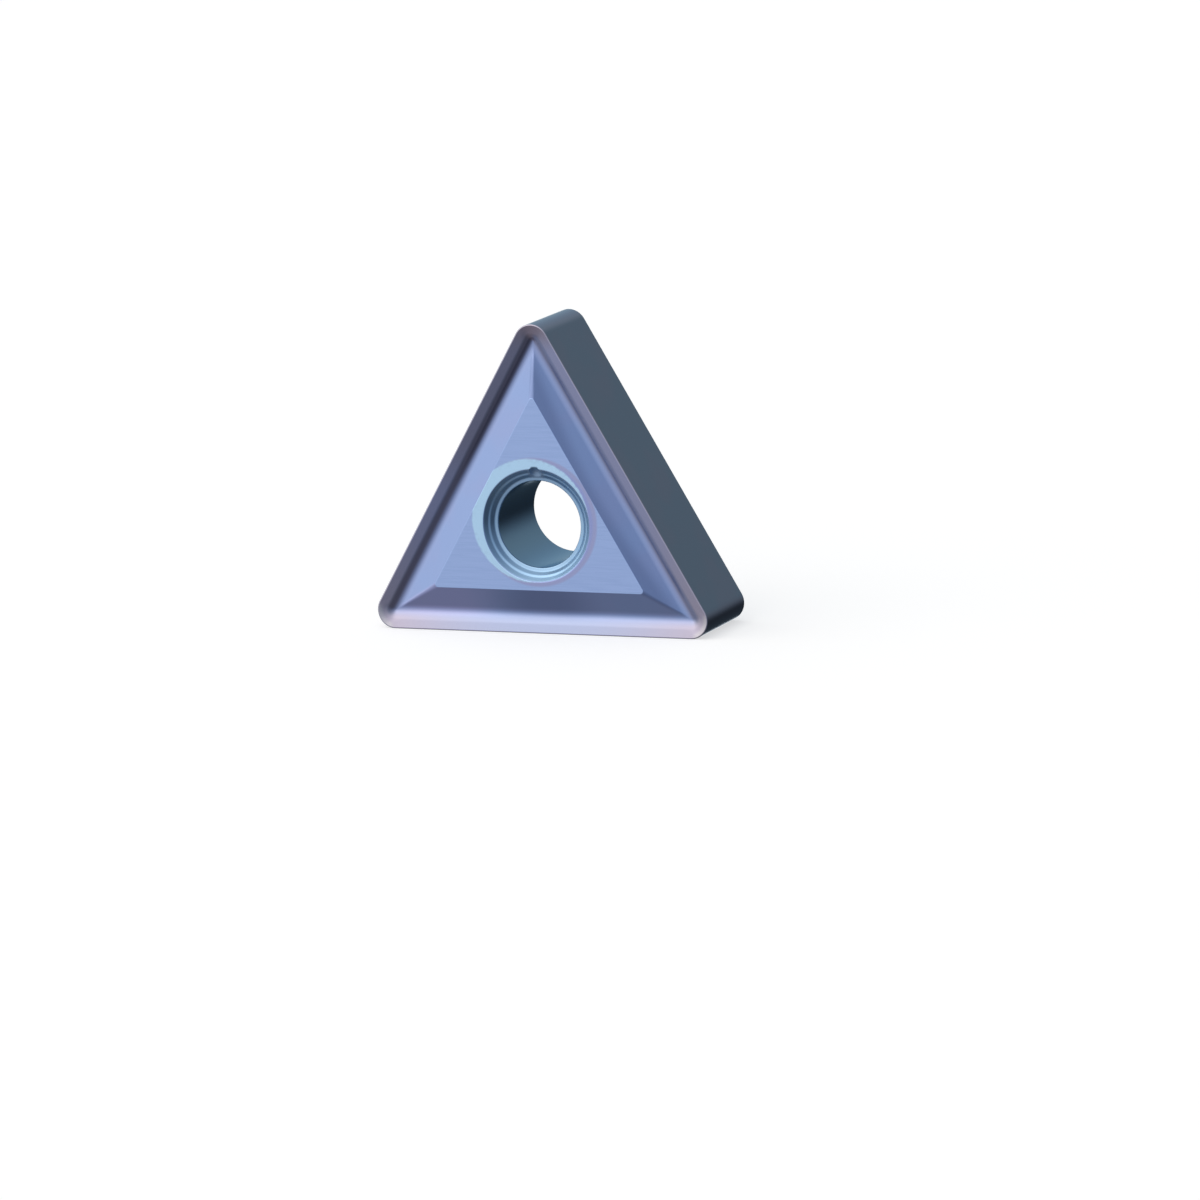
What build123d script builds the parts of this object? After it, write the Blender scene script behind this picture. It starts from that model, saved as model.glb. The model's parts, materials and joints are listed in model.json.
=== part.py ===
"""Triangular carbide turning insert, double-sided, with a moulded chip groove round both faces.

The insert is one pressed and sintered piece. It stands on one flank with a nose up: X runs along
that flank, Z is up, and Y runs along the clamping hole. The origin is in the middle of the hole.
"""

import os
from math import atan2, hypot, radians, sqrt, tan

from build123d import *

# Outline of the insert, in millimetres
inscribed_circle = 9.525
nose_radius = 0.8
thickness = 4.76
edge_hone = 0.05

# Chip groove, measured in from the cutting edge and down from it
land_width = 0.44
land_angle = 14
shoulder_radius = 0.5
valley_inset = 0.83
valley_depth = 0.33
groove_radius = 0.5
plateau_inset = 1.93
plateau_rise = 0.17

# Clamping hole, with a stepped mouth on each face, from the hole's wall outwards
hole_diameter = 3.81
lead_in_width = 0.165
lead_in_depth = 0.03
lead_in_radius = 0.05
lower_step_width = 0.145
lower_step_depth = 0.155
ledge_width = 0.07
ledge_fall = 0.03
upper_step_width = 0.165
upper_step_depth = 0.165

# Index notch in the mouth's rim, towards the upper nose
notch_radius = 0.28
notch_depth = 0.33
notch_reach = 0.085

# Sizes that follow from these
flank_distance = inscribed_circle / 2
edge_height = (thickness - plateau_rise) / 2
plateau_height = edge_height + plateau_rise
nose_centre_distance = flank_distance - nose_radius
side_run = 2 * sqrt(3) * nose_centre_distance
far_side = -2 * flank_distance
hole_radius = hole_diameter / 2
lower_step_radius = hole_radius + lead_in_width
ledge_radius = lower_step_radius + lower_step_width
upper_step_radius = ledge_radius + ledge_width
rim_radius = upper_step_radius + upper_step_width
upper_step_height = plateau_height - upper_step_depth
ledge_height = upper_step_height - ledge_fall
lower_step_height = ledge_height - lower_step_depth
lead_in_height = lower_step_height - lead_in_depth

# A rounding between two walls never takes more than its share of the wall between them
land_fall = land_width * tan(radians(land_angle))
wall_run = hypot(valley_inset - land_width, valley_depth - land_fall)
wall_angle = atan2(valley_depth - land_fall, valley_inset - land_width)
slope_angle = atan2(valley_depth + plateau_rise, plateau_inset - valley_inset)
shoulder_turn = wall_angle - radians(land_angle)
valley_turn = wall_angle + slope_angle
shoulder_round = min(shoulder_radius, 0.3 * wall_run / tan(shoulder_turn / 2))
valley_round = min(groove_radius, 0.65 * wall_run / tan(valley_turn / 2))


# Section square to one flank, through both faces: the section's X points out of the flank
half_section = [
    (far_side, plateau_height),
    (flank_distance - plateau_inset, plateau_height),
    (flank_distance - valley_inset, edge_height - valley_depth),
    (flank_distance - land_width, edge_height - land_fall),
    (flank_distance, edge_height),
]
with BuildSketch() as side_section:
    with BuildLine():
        Polyline(half_section + [(x, -y) for x, y in reversed(half_section)], close=True)
    make_face()
    fillet(side_section.vertices().group_by(Axis.X)[-3], valley_round)
    fillet(side_section.vertices().group_by(Axis.X)[-2], shoulder_round)
    fillet(side_section.vertices().group_by(Axis.X)[-1], edge_hone)

# The rim keeps the nose radius next to the flank, and the core is all that lies inside it
with BuildSketch() as rim_section:
    add(side_section.sketch)
    with Locations((nose_centre_distance, 0)):
        Rectangle(nose_radius, thickness * 2, align=(Align.MIN, Align.CENTER), mode=Mode.INTERSECT)

with BuildSketch() as core_section:
    add(side_section.sketch)
    with Locations((nose_centre_distance, 0)):
        Rectangle(nose_radius, thickness * 2, align=(Align.MIN, Align.CENTER), mode=Mode.SUBTRACT)

# One third of the rim: a straight cutting edge, then the nose that the same section turns round
flank_plane = Plane(origin=(0, 0, 0), x_dir=(0, -1, 0), z_dir=(1, 0, 0))
nose_plane = flank_plane.offset(side_run / 2)
nose_axis = Axis((side_run / 2, -nose_centre_distance, 0), (0, 0, 1))

with BuildPart() as rim_third:
    with BuildSketch(flank_plane):
        add(rim_section.sketch)
    extrude(amount=side_run / 2, both=True)
    with BuildSketch(nose_plane):
        add(rim_section.sketch)
    revolve(axis=nose_axis, revolution_arc=120)

# The raised core is what three like bars have in common, so its slopes meet in sharp ridges
with BuildPart() as core_bar:
    with BuildSketch(flank_plane):
        add(core_section.sketch)
    extrude(amount=-far_side, both=True)

with BuildPart() as raised_core:
    add(core_bar.part)
    add(core_bar.part, rotation=(0, 0, 120), mode=Mode.INTERSECT)
    add(core_bar.part, rotation=(0, 0, 240), mode=Mode.INTERSECT)

# Stepped wall of the clamping hole, from the axis out and from face to face
half_wall = [
    (rim_radius, plateau_height),
    (upper_step_radius, upper_step_height),
    (ledge_radius, ledge_height),
    (lower_step_radius, lower_step_height),
    (hole_radius, lead_in_height),
]
with BuildSketch() as hole_section:
    with BuildLine():
        whole_wall = half_wall + [(x, -y) for x, y in reversed(half_wall)]
        Polyline([(0, plateau_height)] + whole_wall + [(0, -plateau_height)], close=True)
    make_face()
    wall_corners = hole_section.vertices().filter_by_position(Axis.X, hole_radius, hole_radius)
    fillet(wall_corners, lead_in_radius)

# The notch is left by a round-nosed key that lies along the face: a ball outside the mouth's rim, and
# from its middle a round bar in over the steps, towards the hole's axis
notch_middle = (0, rim_radius + notch_reach - notch_radius, plateau_height - notch_depth + notch_radius)
with BuildPart() as notch_key:
    with Locations(notch_middle):
        Sphere(notch_radius)
        Cylinder(
            notch_radius,
            notch_middle[1],
            rotation=(90, 0, 0),
            align=(Align.CENTER, Align.CENTER, Align.MIN),
        )
    mirror(about=Plane.XY)

with BuildPart(Plane.XZ) as carbide_insert:
    add(raised_core.part)
    with PolarLocations(0, 3):
        add(rim_third.part)
    with BuildSketch(Plane.XY):
        add(hole_section.sketch)
    revolve(axis=Axis.Y, mode=Mode.SUBTRACT)
    add(notch_key.part, mode=Mode.SUBTRACT)

carbide_insert.part.label = "carbide_insert"

os.makedirs("parts", exist_ok=True)
export_step(carbide_insert.part, "parts/carbide_insert.step")
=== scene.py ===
"""A triangular carbide turning insert, pressed and ground, with its blue-violet coating."""

import json
import math

import bpy
import numpy as np
from mathutils import Matrix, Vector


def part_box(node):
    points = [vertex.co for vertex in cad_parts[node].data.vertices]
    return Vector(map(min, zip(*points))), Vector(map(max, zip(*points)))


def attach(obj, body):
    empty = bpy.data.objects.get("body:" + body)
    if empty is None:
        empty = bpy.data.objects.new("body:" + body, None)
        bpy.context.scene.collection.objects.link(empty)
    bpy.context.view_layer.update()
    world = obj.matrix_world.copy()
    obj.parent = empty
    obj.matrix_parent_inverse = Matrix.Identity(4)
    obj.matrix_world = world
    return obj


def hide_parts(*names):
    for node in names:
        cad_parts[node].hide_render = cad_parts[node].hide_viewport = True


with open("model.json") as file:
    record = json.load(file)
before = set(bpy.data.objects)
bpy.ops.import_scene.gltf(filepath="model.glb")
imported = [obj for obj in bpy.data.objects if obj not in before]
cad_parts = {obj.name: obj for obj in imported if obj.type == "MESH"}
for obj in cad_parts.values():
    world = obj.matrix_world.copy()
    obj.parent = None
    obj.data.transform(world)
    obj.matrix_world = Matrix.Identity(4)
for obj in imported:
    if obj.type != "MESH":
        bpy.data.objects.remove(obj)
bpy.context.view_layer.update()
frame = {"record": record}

# The insert's body
# One plate of tungsten carbide powder, pressed to a triangle with a chip groove round both faces, then
# sintered. The flanks and the raised seats are ground afterwards, and the cutting edges are honed.
lowest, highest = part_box("carbide_insert")
flank_angles = np.radians([-90, 30, 150])
flank_distance = -lowest.z
seat_height = highest.y
nose_radius = 0.80e-3
edge_hone = 0.05e-3
seat_rise = 0.17e-3
edge_height = seat_height - seat_rise

# The chip groove's section, in from the cutting edge and down from it
land_width = 0.44e-3
land_fall = land_width * math.tan(math.radians(14))
shoulder_radius = 0.5e-3
groove_inset = 0.83e-3
groove_depth = 0.33e-3
groove_radius = 0.5e-3
seat_inset = 1.93e-3
seat_edge_radius = 0.02e-3
ridge_radius = 0.05e-3
seat_corner_radius = 0.13e-3
groove_corners = [
    (0, 0),
    (0, edge_height),
    (land_width, edge_height - land_fall),
    (groove_inset, edge_height - groove_depth),
    (seat_inset, seat_height),
    (seat_inset + 5 * seat_edge_radius, seat_height),
]
groove_radii = [edge_hone, shoulder_radius, groove_radius, seat_edge_radius]

# The index notch, left in the mouth's steps towards the upper nose by a round-nosed key. Its edges are
# rounded, so it is a little wider than the key
notch_radius = 0.35e-3
notch_depth = 0.33e-3
notch_reach = 0.085e-3

# The hole's section, out from its wall and down from the seat
bore = next(m for m in frame["record"]["mounts"] if m["name"] == "clamping_hole")
bore_radius = bore["dims"]["r_mm"] * 1e-3
lead_in_width = 0.165e-3
lead_in_depth = 0.03e-3
lead_in_radius = 0.05e-3
lower_step_width = 0.145e-3
lower_step_depth = 0.155e-3
ledge_width = 0.07e-3
ledge_fall = 0.03e-3
upper_step_width = 0.165e-3
upper_step_depth = 0.165e-3
step_edge_radius = 0.12e-3
lower_step_radius = bore_radius + lead_in_width
ledge_radius = lower_step_radius + lower_step_width
upper_step_radius = ledge_radius + ledge_width
rim_radius = upper_step_radius + upper_step_width
upper_step_height = seat_height - upper_step_depth
ledge_height = upper_step_height - ledge_fall
lower_step_height = ledge_height - lower_step_depth
lead_in_height = lower_step_height - lead_in_depth
mouth_corners = [
    (rim_radius + 2.2 * notch_reach, seat_height),
    (rim_radius, seat_height),
    (upper_step_radius, upper_step_height),
    (ledge_radius, ledge_height),
    (lower_step_radius, lower_step_height),
    (bore_radius, lead_in_height),
    (bore_radius, 0),
]
mouth_radii = [step_edge_radius] * 4 + [lead_in_radius]


def rounded_line(corners, radii, turn_step):
    """A line through the corners with an arc at each inner one. An arc starts its radius times the tangent
    of half the turn before its corner, and its centre lies one radius to the side the line turns to."""
    corners = np.array(corners)
    points = [corners[:1]]
    for before, corner, after, radius in zip(corners, corners[1:], corners[2:], radii):
        run_in = (corner - before) / np.linalg.norm(corner - before)
        run_out = (after - corner) / np.linalg.norm(after - corner)
        turn = math.atan2(run_in[0] * run_out[1] - run_in[1] * run_out[0], run_in @ run_out)
        start = corner - run_in * radius * math.tan(abs(turn) / 2)
        side = math.copysign(1, turn) * np.array([-run_in[1], run_in[0]])
        angles = np.linspace(0, abs(turn), math.ceil(abs(turn) / turn_step) + 1)[:, None]
        points.append(start + radius * (np.sin(angles) * run_in + (1 - np.cos(angles)) * side))
    points.append(corners[-1:])
    return np.concatenate(points)


def with_short_steps(points, longest):
    """The same line with even points added on its long runs, so that no step is longer than that."""
    steps = np.linalg.norm(np.diff(points, axis=0), axis=1)
    counts = np.maximum(1, np.ceil(steps / longest)).astype(int)
    places = np.concatenate([i + np.arange(n) / n for i, n in enumerate(counts)] + [[len(counts)]])
    return np.stack([np.interp(places, np.arange(len(points)), points[:, k]) for k in (0, 1)], 1)


def triangle_rings(inset, corner_radius, columns, crowding):
    """Rings in the plan's X and Z, one for each inset from the flanks, with the same columns in each.

    Half a side runs from a nose's tip round 60 degrees of its arc, then straight to the side's middle. A
    point lies at a share of that way: its count over the columns, to the power of the crowding, which draws
    points to the tip. On the arc the side's normal turns by way over radius. The other half is its mirror
    image, and each side is turned to its place."""
    half = (np.arange(columns + 1) / columns) ** crowding
    share = np.concatenate([half[:-1], half[:0:-1]])
    mirrored = np.repeat([1, -1], columns)
    inset, corner_radius = inset[:, None], corner_radius[:, None]
    straight = math.sqrt(3) * (flank_distance - inset - corner_radius)
    arc = corner_radius * math.pi / 3
    way = share * (arc + straight)
    turn = np.maximum(0, math.pi / 3 - way / corner_radius)
    along = mirrored * (straight + corner_radius * np.sin(turn) - np.maximum(0, way - arc))
    out = flank_distance - inset - corner_radius * (1 - np.cos(turn))
    sides = [
        np.stack([along * math.sin(a) + out * math.cos(a), out * math.sin(a) - along * math.cos(a)], -1)
        for a in flank_angles
    ]
    return np.concatenate(sides, axis=1)


def notch_floor(x, z):
    """The notch's height over the plan. Its round nose has its middle one radius short of the furthest
    reach, and from there in it runs on as a groove. The depth falls off with the cube of the share of
    the radius that a point lies out from the groove's line."""
    past_middle = np.maximum(z - (rim_radius + notch_reach - notch_radius), 0)
    share = np.hypot(x, past_middle) / notch_radius
    inside = (share < 1) & (z > 0)
    return np.where(inside, seat_height - notch_depth * (1 - share**3), np.inf)


# A ring's corner turns round the nose's centre until it is as sharp as a ridge, and widens up to the seat
flank_and_groove = with_short_steps(rounded_line(groove_corners, groove_radii, math.radians(6)), 0.8e-3)
ring_inset, ring_height = flank_and_groove.T
up_the_ridge = np.clip((ring_inset - nose_radius) / (seat_inset - nose_radius), 0, 1)
ridge_corner = ridge_radius + (seat_corner_radius - ridge_radius) * up_the_ridge**2
ring_corner = np.maximum(nose_radius - ring_inset, ridge_corner)
rings = triangle_rings(ring_inset, ring_corner, columns=60, crowding=1.8)

# The seat runs straight from the last ring to the hole's mouth, whose circles have the same columns
hole_wall = with_short_steps(rounded_line(mouth_corners, mouth_radii, math.radians(8)), 0.05e-3)
towards = rings[-1] / np.linalg.norm(rings[-1], axis=1, keepdims=True)
circles = hole_wall[:, 0, None, None] * towards
seat_steps = 8
way_in = np.arange(1, seat_steps)[:, None, None] / seat_steps
seat = rings[-1] + (circles[0] - rings[-1]) * way_in
plan = np.concatenate([rings, seat, circles])
row_height = np.concatenate([ring_height, np.full(len(seat), seat_height), hole_wall[:, 1]])
surface_height = np.minimum(row_height[:, None], notch_floor(plan[..., 0], plan[..., 1]))
front = np.stack([plan[..., 0], -surface_height, plan[..., 1]], -1)
body = np.concatenate([front, front[-2:0:-1] * (1, -1, 1)])

# Rows run in over the front face, back through the hole and out over the rear face, so both ways close
row, column = np.indices(body.shape[:2])
next_row = (row + 1) % body.shape[0]
next_column = (column + 1) % body.shape[1]
quads = [(row, column), (row, next_column), (next_row, next_column), (next_row, column)]
faces = np.stack([r * body.shape[1] + c for r, c in quads], -1).reshape(-1, 4)
insert_mesh = bpy.data.meshes.new("carbide_insert_surface")
insert_mesh.from_pydata(body.reshape(-1, 3), [], faces)
insert_mesh.update()

# A vertex's normal is square to the chords past it both ways, so the long runs beside an arc stay flat
ring_chord = np.roll(body, -1, 1) - np.roll(body, 1, 1)
section_chord = np.roll(body, -1, 0) - np.roll(body, 1, 0)
normals = np.cross(ring_chord, section_chord)
normals /= np.linalg.norm(normals, axis=-1, keepdims=True)
insert_mesh.shade_smooth()
insert_mesh.normals_split_custom_set_from_vertices(normals.reshape(-1, 3))
insert = bpy.data.objects.new("coated_carbide_insert", insert_mesh)
bpy.context.scene.collection.objects.link(insert)


# The coating
# A few thousandths of a millimetre of nitride, laid on in a furnace. Its thickness sets its colour: mauve
# on the thick edges, blue inside, and cyan where a washer covered the seat and thinned it.
coating = bpy.data.materials.new("coated_carbide")
coating.use_nodes = True
coat = coating.node_tree


def add_node(tree, kind, inputs=None, **options):
    """A shader node with its options set. An input takes a value, or a link from another node's socket."""
    made = tree.nodes.new(kind)
    for name, value in options.items():
        setattr(made, name, value)
    for name, value in (inputs or {}).items():
        if isinstance(value, bpy.types.NodeSocket):
            tree.links.new(value, made.inputs[name])
        else:
            made.inputs[name].default_value = value
    return made


def maths(tree, operation, *values):
    """The result of an operation on one value or two, or on more by taking the rest in one by one."""
    result = add_node(tree, "ShaderNodeMath", dict(enumerate(values[:2])), operation=operation).outputs[0]
    for value in values[2:]:
        result = maths(tree, operation, result, value)
    return result


def vector_maths(tree, operation, *values, output=0):
    """The result of one Vector Math node on those values."""
    made = add_node(tree, "ShaderNodeVectorMath", dict(enumerate(values)), operation=operation)
    return made.outputs[output]


def ramp_between(tree, value, start, end):
    """A smooth rise from 0 at start to 1 at end, or a fall where end is the lower of the two."""
    inputs = {"Value": value, "From Min": min(start, end), "From Max": max(start, end)}
    if end < start:
        inputs |= {"To Min": 1.0, "To Max": 0.0}
    return add_node(tree, "ShaderNodeMapRange", inputs, interpolation_type="SMOOTHSTEP").outputs[0]


def band_between(tree, value, start, full, still_full, end):
    """A smooth rise from 0 at start to 1 at full, and a smooth fall from 1 at still_full to 0 at end."""
    rise = ramp_between(tree, value, start, full)
    return maths(tree, "MULTIPLY", rise, ramp_between(tree, value, end, still_full))


def mixed(tree, share, first, second):
    """Two colours mixed, with that share of the second."""
    inputs = {"Factor": share, "A": first, "B": second}
    made = add_node(tree, "ShaderNodeMix", data_type="RGBA")
    for name, value in inputs.items():
        socket = next(s for s in made.inputs if s.name == name and (name == "Factor" or s.type == "RGBA"))
        if isinstance(value, bpy.types.NodeSocket):
            tree.links.new(value, socket)
        else:
            socket.default_value = value
    return next(s for s in made.outputs if s.type == "RGBA")


def noise(tree, place, scale, detail=2.0):
    """Cloudy noise between 0 and 1 at a place, with that many clouds to a unit."""
    inputs = {"Vector": place, "Scale": scale, "Detail": detail}
    return add_node(tree, "ShaderNodeTexNoise", inputs).outputs[0]


# Places on the insert, in millimetres. A reach is the way from the hole's axis towards one of the flanks
metres = add_node(coat, "ShaderNodeTexCoord").outputs["Object"]
on_insert = vector_maths(coat, "MULTIPLY", metres, (1000.0, 1000.0, 1000.0))
in_plan = vector_maths(coat, "MULTIPLY", on_insert, (1.0, 0.0, 1.0))
along_side, through, height = add_node(coat, "ShaderNodeSeparateXYZ", {0: on_insert}).outputs
off_middle = maths(coat, "ABSOLUTE", through)
from_axis = vector_maths(coat, "LENGTH", in_plan, output="Value")
reaches = [
    vector_maths(coat, "DOT_PRODUCT", on_insert, (math.cos(a), 0.0, math.sin(a)), output="Value")
    for a in flank_angles.tolist()
]
furthest = maths(coat, "MAXIMUM", *reaches)
off_lower_side = maths(coat, "SUBTRACT", furthest, reaches[0])
off_right_side = maths(coat, "SUBTRACT", furthest, reaches[1])
off_left_side = maths(coat, "SUBTRACT", furthest, reaches[2])
on_lower_side = ramp_between(coat, off_lower_side, 0.3, 0.05)
on_right_side = ramp_between(coat, off_right_side, 0.3, 0.05)
on_left_side = ramp_between(coat, off_left_side, 0.3, 0.05)
up_left_side = maths(coat, "MULTIPLY", on_left_side, ramp_between(coat, height, 0.9, 3.9))
up_the_sides = ramp_between(coat, off_lower_side, 0.0, 0.4)
off_noses = ramp_between(coat, from_axis, 7.2, 5.8)

# The way in from the flank. The noses' centres are the corners of a core triangle. A place lies out from
# that core's nearest side, and along it past its end, and the two ways are the legs of a right triangle
core_distance = (flank_distance - nose_radius) * 1000
beyond_core = maths(coat, "SUBTRACT", furthest, core_distance)
off_core = maths(coat, "MAXIMUM", beyond_core, 0.0)
within_core = maths(coat, "MINIMUM", beyond_core, 0.0)
axis_squared = maths(coat, "POWER", from_axis, 2.0)
leg_squared = maths(coat, "SUBTRACT", axis_squared, maths(coat, "POWER", furthest, 2.0))
along_core = maths(coat, "SQRT", maths(coat, "MAXIMUM", leg_squared, 0.0))
past_end = maths(coat, "SUBTRACT", along_core, core_distance * math.sqrt(3))
past_core = maths(coat, "MAXIMUM", past_end, 0.0)
both_ways = add_node(coat, "ShaderNodeCombineXYZ", {0: off_core, 1: past_core}).outputs[0]
from_core = maths(coat, "ADD", vector_maths(coat, "LENGTH", both_ways, output="Value"), within_core)
from_flank = maths(coat, "SUBTRACT", nose_radius * 1000, from_core)
round_nose = ramp_between(coat, past_core, 0.0, 0.3)

# On the land the film is thick and mauve. It is lilac along the lower side, heather up the left one, pinker
# at the lower noses with a painted ivory highlight along their edges, and browner at the top one
film_mauve = (0.34, 0.378, 0.585, 1)
film_lilac = (0.345, 0.41, 0.60, 1)
film_rose = (0.41, 0.39, 0.50, 1)
film_umber = (0.30, 0.28, 0.36, 1)
film_heather = (0.292, 0.302, 0.427, 1)
painted_nose_edge_highlight = (0.50, 0.50, 0.57, 1)
to_the_noses = ramp_between(coat, from_axis, 4.0, 9.0)
at_lower_nose = maths(coat, "MULTIPLY", to_the_noses, ramp_between(coat, height, 5.0, 0.0))
at_top_nose = ramp_between(coat, height, 7.4, 8.6)
round_lower_nose = maths(coat, "MULTIPLY", round_nose, ramp_between(coat, height, 0.0, -2.0))
# A painted highlight: pale ivory along the cutting edges of the lower noses
nose_edge_highlight_share = maths(coat, "MULTIPLY", round_lower_nose, ramp_between(coat, from_flank, 0.32, 0.10))
land_colour = mixed(coat, up_the_sides, film_lilac, film_mauve)
land_colour = mixed(coat, at_lower_nose, land_colour, film_rose)
land_colour = mixed(coat, up_left_side, land_colour, film_heather)
land_colour = mixed(coat, nose_edge_highlight_share, land_colour, painted_nose_edge_highlight)
land_colour = mixed(coat, at_top_nose, land_colour, film_umber)

# On the slopes up to the seat it is thinner and blue, with clouds in it. It is lighter at the left end of
# the lower slope, and darker at its middle and up the right slope
film_blue = (0.278, 0.38, 0.66, 1)
film_plum = (0.31, 0.36, 0.62, 1)
slope_lighter_end = (0.39, 0.43, 0.74, 1)
slope_darker_patch = (0.165, 0.225, 0.42, 1)
lower_slope_left_end = (-4.6, 0.0, -3.5)
lower_slope_middle = (0.2, 0.0, -3.5)
cloudy = ramp_between(coat, noise(coat, on_insert, 0.45), 0.42, 0.68)
from_left_end = vector_maths(coat, "DISTANCE", in_plan, lower_slope_left_end, output="Value")
lighter_share = maths(coat, "MULTIPLY", ramp_between(coat, from_left_end, 3.2, 0.8), on_lower_side)
from_slope_middle = vector_maths(coat, "DISTANCE", in_plan, lower_slope_middle, output="Value")
up_the_slope = maths(coat, "ADD", from_flank, maths(coat, "MULTIPLY", from_axis, 0.12))
up_right_slope = maths(coat, "MULTIPLY", on_right_side, ramp_between(coat, up_the_slope, 1.75, 2.3))
darker_share = maths(coat, "MAXIMUM", ramp_between(coat, from_slope_middle, 3.0, 0.5), up_right_slope)
slope_colour = mixed(coat, maths(coat, "MULTIPLY", cloudy, 0.35), film_blue, film_plum)
slope_colour = mixed(coat, maths(coat, "MULTIPLY", lighter_share, 0.8), slope_colour, slope_lighter_end)
slope_colour = mixed(coat, maths(coat, "MULTIPLY", darker_share, 0.6), slope_colour, slope_darker_patch)

# Over the groove it turns from mauve to blue. The steep walls up the sides are a darker grape, partly the
# film's violet and partly painted shade, with a painted dove grey highlight line down the right wall and
# painted dark shade at the foot of the left one
grape_film_and_painted_shade = (0.33, 0.30, 0.42, 1)
painted_wall_foot_shade = (0.14, 0.14, 0.22, 1)
painted_wall_highlight = (0.72, 0.62, 0.68, 1)
over_groove = ramp_between(coat, from_flank, 0.45, 0.95)
on_steep_wall = band_between(coat, from_flank, 0.42, 0.55, 0.62, 0.76)
down_the_wall = band_between(coat, from_flank, 0.45, 0.51, 0.57, 0.64)
at_wall_foot = band_between(coat, from_flank, 0.54, 0.62, 0.67, 0.80)
# Painted shade on the steep walls and at the left wall's foot, and a painted highlight down the right wall
grape_and_shade_share = maths(coat, "MULTIPLY", on_steep_wall, up_the_sides, 0.7)
wall_foot_shade_share = maths(coat, "MULTIPLY", at_wall_foot, up_left_side, 0.7)
wall_highlight_share = maths(coat, "MULTIPLY", down_the_wall, on_right_side, off_noses, 0.6)
groove_colour = mixed(coat, over_groove, land_colour, slope_colour)
groove_colour = mixed(coat, grape_and_shade_share, groove_colour, grape_film_and_painted_shade)
groove_colour = mixed(coat, wall_foot_shade_share, groove_colour, painted_wall_foot_shade)
groove_colour = mixed(coat, wall_highlight_share, groove_colour, painted_wall_highlight)

# The seat is ground after pressing, so its film looks brighter, with faint lines along the grinding
film_seat = (0.368, 0.515, 0.86, 1)
film_seat_dim = (0.345, 0.488, 0.825, 1)
seat_level = seat_height * 1000
on_seat = ramp_between(coat, off_middle, seat_level - 0.006, seat_level - 0.002)
off_seat = maths(coat, "SUBTRACT", 1.0, on_seat)
stretch = {"Vector": in_plan, "Rotation": (0.0, math.radians(7), 0.0), "Scale": (0.5, 1.0, 14.0)}
along_grinding = add_node(coat, "ShaderNodeMapping", stretch).outputs[0]
ground = ramp_between(coat, noise(coat, along_grinding, 1.0, 3.0), 0.38, 0.66)
ground_colour = mixed(coat, ground, film_seat, film_seat_dim)
face_colour = mixed(coat, on_seat, groove_colour, ground_colour)

# Two washers on the furnace's rod shaded the seat round the hole, each a little off centre. Past the
# wider one's edge the film runs through pink, between the two it is violet, and inside both it is cyan
film_pink = (0.36, 0.41, 0.68, 1)
film_violet = (0.32, 0.39, 0.72, 1)
film_cyan = (0.485, 0.745, 1.0, 1)
film_cyan_dim = (0.46, 0.70, 0.95, 1)
wide_washer = (0.0, 0.0, 0.15)
narrow_washer = (-0.27, 0.0, 0.22)
scuffs = noise(coat, on_insert, 5.0, 3.0)
ragged = maths(coat, "MULTIPLY", maths(coat, "SUBTRACT", scuffs, 0.5), 0.10)
from_wide = vector_maths(coat, "DISTANCE", in_plan, wide_washer, output="Value")
from_narrow = vector_maths(coat, "DISTANCE", in_plan, narrow_washer, output="Value")
from_narrow = maths(coat, "ADD", from_narrow, ragged)
near_its_edge = ramp_between(coat, from_narrow, 2.40, 2.62)
scuffed = maths(coat, "MULTIPLY", ramp_between(coat, scuffs, 0.56, 0.66), near_its_edge)
cyan_colour = mixed(coat, scuffed, film_cyan, film_cyan_dim)
washer_colour = mixed(coat, ramp_between(coat, from_wide, 2.88, 2.74), ground_colour, film_pink)
washer_colour = mixed(coat, ramp_between(coat, from_wide, 2.70, 2.55), washer_colour, film_violet)
washer_colour = mixed(coat, ramp_between(coat, from_narrow, 2.74, 2.64), washer_colour, cyan_colour)
seat_colour = mixed(coat, on_seat, face_colour, washer_colour)

# The hole's stepped mouth is cyan too. A paler cyan is painted on its ledge and lead-in as a highlight, and
# towards the right as painted light over the dark reflections on its walls
film_mouth = (0.26, 0.41, 0.59, 1)
mouth_painted_highlight = (0.36, 0.56, 0.79, 1)
lead_in_edge, ledge_edge, upper_edge, rim_edge = (
    radius * 1000 for radius in (lower_step_radius, ledge_radius, upper_step_radius, rim_radius)
)
in_mouth = ramp_between(coat, from_axis, rim_edge + 0.01, rim_edge - 0.02)
past_lower_step = ramp_between(coat, from_axis, lead_in_edge + 0.11, ledge_edge)
within_upper_step = ramp_between(coat, from_axis, upper_edge + 0.03, upper_edge)
on_ledge = maths(coat, "MINIMUM", past_lower_step, within_upper_step)
on_lead_in = ramp_between(coat, from_axis, lead_in_edge + 0.02, lead_in_edge - 0.02)
to_the_right = ramp_between(coat, along_side, 0.0, 1.8)
# Painted highlight and painted light: the paler cyan on the ledge, the lead-in and the right side
mouth_highlight_share = maths(coat, "MAXIMUM", on_ledge, on_lead_in, to_the_right)
stepped_colour = mixed(coat, mouth_highlight_share, film_mouth, mouth_painted_highlight)
mouth_colour = mixed(coat, in_mouth, seat_colour, stepped_colour)

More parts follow.
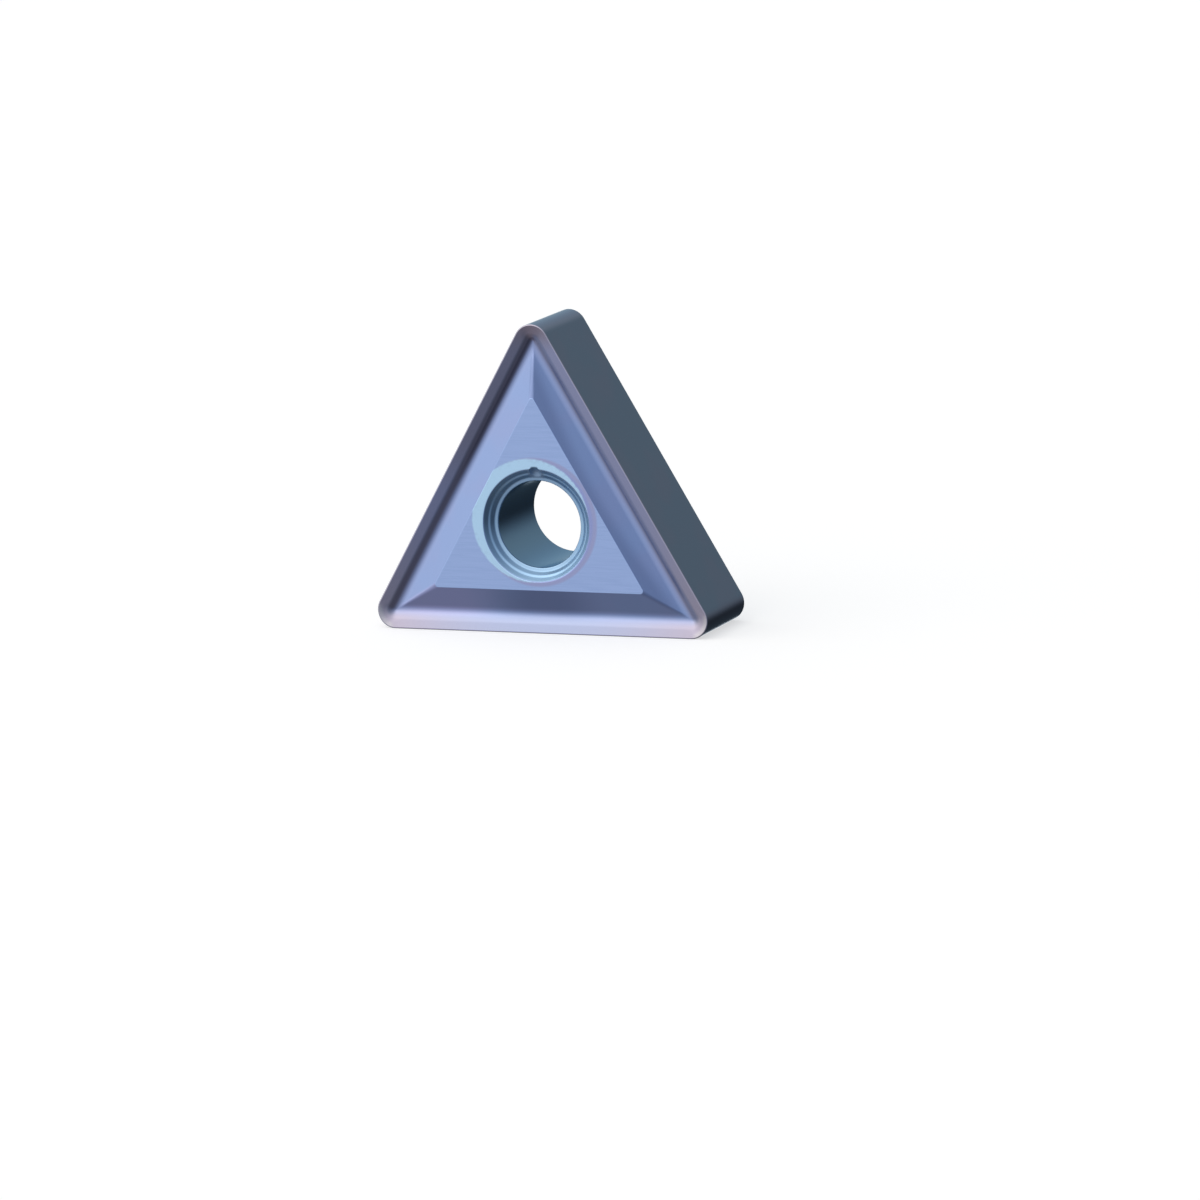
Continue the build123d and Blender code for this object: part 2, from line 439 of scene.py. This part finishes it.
# The notch is a greyer cyan, and the hole's wall a dark teal
film_notch = (0.30, 0.43, 0.60, 1)
film_teal = (0.31, 0.47, 0.68, 1)
bore_edge = bore_radius * 1000
across_notch = ramp_between(coat, maths(coat, "ABSOLUTE", along_side), 0.38, 0.32)
up_the_notch = band_between(coat, height, 1.98, 2.06, 2.65, 2.75)
in_notch = maths(coat, "MULTIPLY", across_notch, up_the_notch, off_seat)
in_bore = ramp_between(coat, from_axis, bore_edge + 0.03, bore_edge + 0.005)
inner_colour = mixed(coat, in_notch, mouth_colour, film_notch)
inner_colour = mixed(coat, in_bore, inner_colour, film_teal)

# The ground flanks are slate, a little browner in places, with a painted steel highlight round the noses
film_slate = (0.272, 0.318, 0.44, 1)
film_dun = (0.295, 0.314, 0.435, 1)
painted_nose_flank_highlight = (0.44, 0.43, 0.56, 1)
on_flank = ramp_between(coat, from_flank, 0.04, 0.01)
flank_colour = mixed(coat, cloudy, film_slate, film_dun)
flank_colour = mixed(coat, round_nose, flank_colour, painted_nose_flank_highlight)
outer_colour = mixed(coat, on_flank, inner_colour, flank_colour)

# A thin pale line is painted along the cutting edges as the hone's highlight
painted_edge_highlight = (0.50, 0.48, 0.58, 1)
edge_level = edge_height * 1000
at_edge_level = ramp_between(coat, off_middle, edge_level - 0.06, edge_level - 0.04)
along_edge = maths(coat, "MULTIPLY", ramp_between(coat, from_flank, 0.05, 0.03), at_edge_level)
base_colour_with_painted_light = mixed(coat, along_edge, outer_colour, painted_edge_highlight)

# The pressed skin has a fine grain, which the ground seat has mostly lost
grain_height = 1e-6
kept_grain = maths(coat, "SUBTRACT", 1.0, maths(coat, "MULTIPLY", on_seat, 0.8))
grain = maths(coat, "MULTIPLY", noise(coat, on_insert, 14.0, 3.0), kept_grain)
skin = add_node(coat, "ShaderNodeBump", {"Height": grain, "Strength": 1.0, "Distance": grain_height})

# The film's shine varies a little. The mouth is duller, but for its left side, and the notch is dullest
varied = {"Value": scuffs, "To Min": 0.14, "To Max": 0.22}
varied_roughness = add_node(coat, "ShaderNodeMapRange", varied).outputs[0]
at_bottom = maths(coat, "MULTIPLY", ramp_between(coat, height, -0.6, -2.1), 0.4)
at_top = ramp_between(coat, height, 1.0, 2.1)
dull = maths(coat, "MAXIMUM", to_the_right, at_bottom, at_top)
dull = maths(coat, "MULTIPLY", dull, maths(coat, "SUBTRACT", in_mouth, in_bore))
dull = maths(coat, "MAXIMUM", dull, maths(coat, "MULTIPLY", in_notch, 1.4))
roughness = maths(coat, "ADD", varied_roughness, maths(coat, "MULTIPLY", dull, 0.35))

coating_shader = coat.nodes["Principled BSDF"]
coat.links.new(base_colour_with_painted_light, coating_shader.inputs["Base Color"])
coat.links.new(roughness, coating_shader.inputs["Roughness"])
coat.links.new(skin.outputs[0], coating_shader.inputs["Normal"])
coating_shader.inputs["Metallic"].default_value = 1.0
coating_shader.inputs["Specular Tint"].default_value = (0.75, 0.92, 1.0, 1.0)
insert_mesh.materials.append(coating)
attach(insert, "root")
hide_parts("carbide_insert")


# The studio
# A plain pale table that keeps the insert's soft shadow, in a bright room that is lightest above and to the
# left. The metal doesn't mirror the table, which shades nothing, and to the camera the room is white.
floor_mesh = bpy.data.meshes.new("floor")
floor_reach = 3.0
floor_corners = np.array([(-1, -1, 0), (1, -1, 0), (1, 1, 0), (-1, 1, 0)]) * floor_reach
floor_mesh.from_pydata(floor_corners + (0, 0, lowest.z), [], [(0, 1, 2, 3)])
floor = bpy.data.objects.new("floor", floor_mesh)
bpy.context.scene.collection.objects.link(floor)
floor.visible_glossy = False
floor.visible_shadow = False
floor_material = bpy.data.materials.new("pale_floor")
floor_material.use_nodes = True
floor_nodes = floor_material.node_tree
floor_nodes.nodes.remove(floor_nodes.nodes["Principled BSDF"])
seen = add_node(floor_nodes, "ShaderNodeLightPath").outputs["Is Camera Ray"]
matt = add_node(floor_nodes, "ShaderNodeBsdfDiffuse", {"Color": (0.53, 0.53, 0.53, 1)})
brightness = maths(floor_nodes, "MULTIPLY", seen, 0.6)
glow = add_node(floor_nodes, "ShaderNodeEmission", {"Strength": brightness})
both = add_node(floor_nodes, "ShaderNodeAddShader", {0: matt.outputs[0], 1: glow.outputs[0]})
floor_nodes.links.new(both.outputs[0], floor_nodes.nodes["Material Output"].inputs["Surface"])
floor_mesh.materials.append(floor_material)

# Each soft panel of light is a lobe round a direction: the cosine of the angle off it, to a power. Its two
# angles are in degrees: round to the left from the front, and up from the level
panels = [
    # The key panel, in front on the left
    (32, 24, 4.5, (0.67, 0.56, 0.47)),
    # A wide warm one, high on the left
    (60, 45, 1.8, (0.80, 0.72, 0.60)),
    # The ceiling over the front, cooler
    (5, 52, 0.9, (0.34, 0.39, 0.46)),
    # The wall behind on the left
    (130, 0, 1.3, (0.28, 0.33, 0.33)),
    # Its foot, bluer
    (110, -35, 3.5, (0.08, 0.13, 0.20)),
    # A small one, behind on the right
    (-140, 30, 7.0, (0.13, 0.13, 0.07)),
    # What the table throws up in front, on the left and under the insert
    (31, -38, 12.0, (0.26, 0.22, 0.22)),
    (20, -80, 4.5, (0.09, 0.06, 0.01)),
]
world = bpy.data.worlds.new("studio")
world.use_nodes = True
bpy.context.scene.world = world
room = world.node_tree
looking = add_node(room, "ShaderNodeTexCoord").outputs["Generated"]
room_colour = (0.11, 0.13, 0.165)
for to_left, upwards, power, colour in panels:
    round_left, up = math.radians(to_left), math.radians(upwards)
    towards_it = (-math.sin(round_left) * math.cos(up), -math.cos(round_left) * math.cos(up), math.sin(up))
    cosine = vector_maths(room, "DOT_PRODUCT", looking, towards_it, output="Value")
    lobe = maths(room, "POWER", maths(room, "MAXIMUM", cosine, 0.0), power)
    room_colour = vector_maths(room, "ADD", room_colour, vector_maths(room, "MULTIPLY", lobe, colour))

# Behind the insert and below the table's level the room is dark
heading = add_node(room, "ShaderNodeSeparateXYZ", {0: looking}).outputs
low = ramp_between(room, heading["Z"], 0.22, -0.25)
low_behind = maths(room, "MULTIPLY", ramp_between(room, heading["Y"], 0.2, 0.6), low)
dimming = maths(room, "SUBTRACT", 1.0, maths(room, "MULTIPLY", low_behind, 0.85))
room_colour = vector_maths(room, "MULTIPLY", room_colour, dimming)

# The white backdrop stands straight behind the insert, where the camera, the metal and glass all see it
straight_behind = (-0.36, 0.91, -0.18)
rays = add_node(room, "ShaderNodeLightPath").outputs
towards_backdrop = vector_maths(room, "DOT_PRODUCT", looking, straight_behind, output="Value")
mirrored = maths(room, "MAXIMUM", rays["Is Glossy Ray"], rays["Is Transmission Ray"])
backdrop = maths(room, "MULTIPLY", mirrored, ramp_between(room, towards_backdrop, 0.955, 0.995))
backdrop = maths(room, "MAXIMUM", backdrop, rays["Is Camera Ray"])
room_seen = mixed(room, backdrop, room_colour, (1, 1, 1, 1))
room.links.new(room_seen, room.nodes["Background"].inputs["Color"])


# The camera
# A long lens, turned a little to the right of the insert's face and looking down on it, rolled slightly.
# hole_in_photo is the hole's middle in the photograph's pixels, and photo_scale its pixels to a metre.
image_size = 1200
hole_in_photo = (557.3, 516.0)
photo_scale = 23104
camera_distance = 0.330
turn, pitch, roll = np.radians([21.786, 10.431, 2.111])
forwards = np.array([-math.sin(turn) * math.cos(pitch), math.cos(turn) * math.cos(pitch), -math.sin(pitch)])
level = np.array([math.cos(turn), math.sin(turn), 0])
down = np.cross(forwards, level)
right = math.cos(roll) * level + math.sin(roll) * down
down = math.cos(roll) * down - math.sin(roll) * level
off_centre = (np.array(hole_in_photo) - image_size / 2) / photo_scale
position = -(off_centre[0] * right + off_centre[1] * down + camera_distance * forwards)
camera_data = bpy.data.cameras.new("camera")
camera_data.sensor_width = 36
camera_data.lens = photo_scale * camera_distance * camera_data.sensor_width / image_size
camera_data.clip_start = 0.01
camera_data.clip_end = 20
camera = bpy.data.objects.new("camera", camera_data)
camera.matrix_world = Matrix.Translation(position) @ Matrix(np.stack([right, -down, -forwards], 1)).to_4x4()
bpy.context.scene.collection.objects.link(camera)
bpy.context.scene.camera = camera
bpy.context.scene.view_settings.view_transform = "Standard"
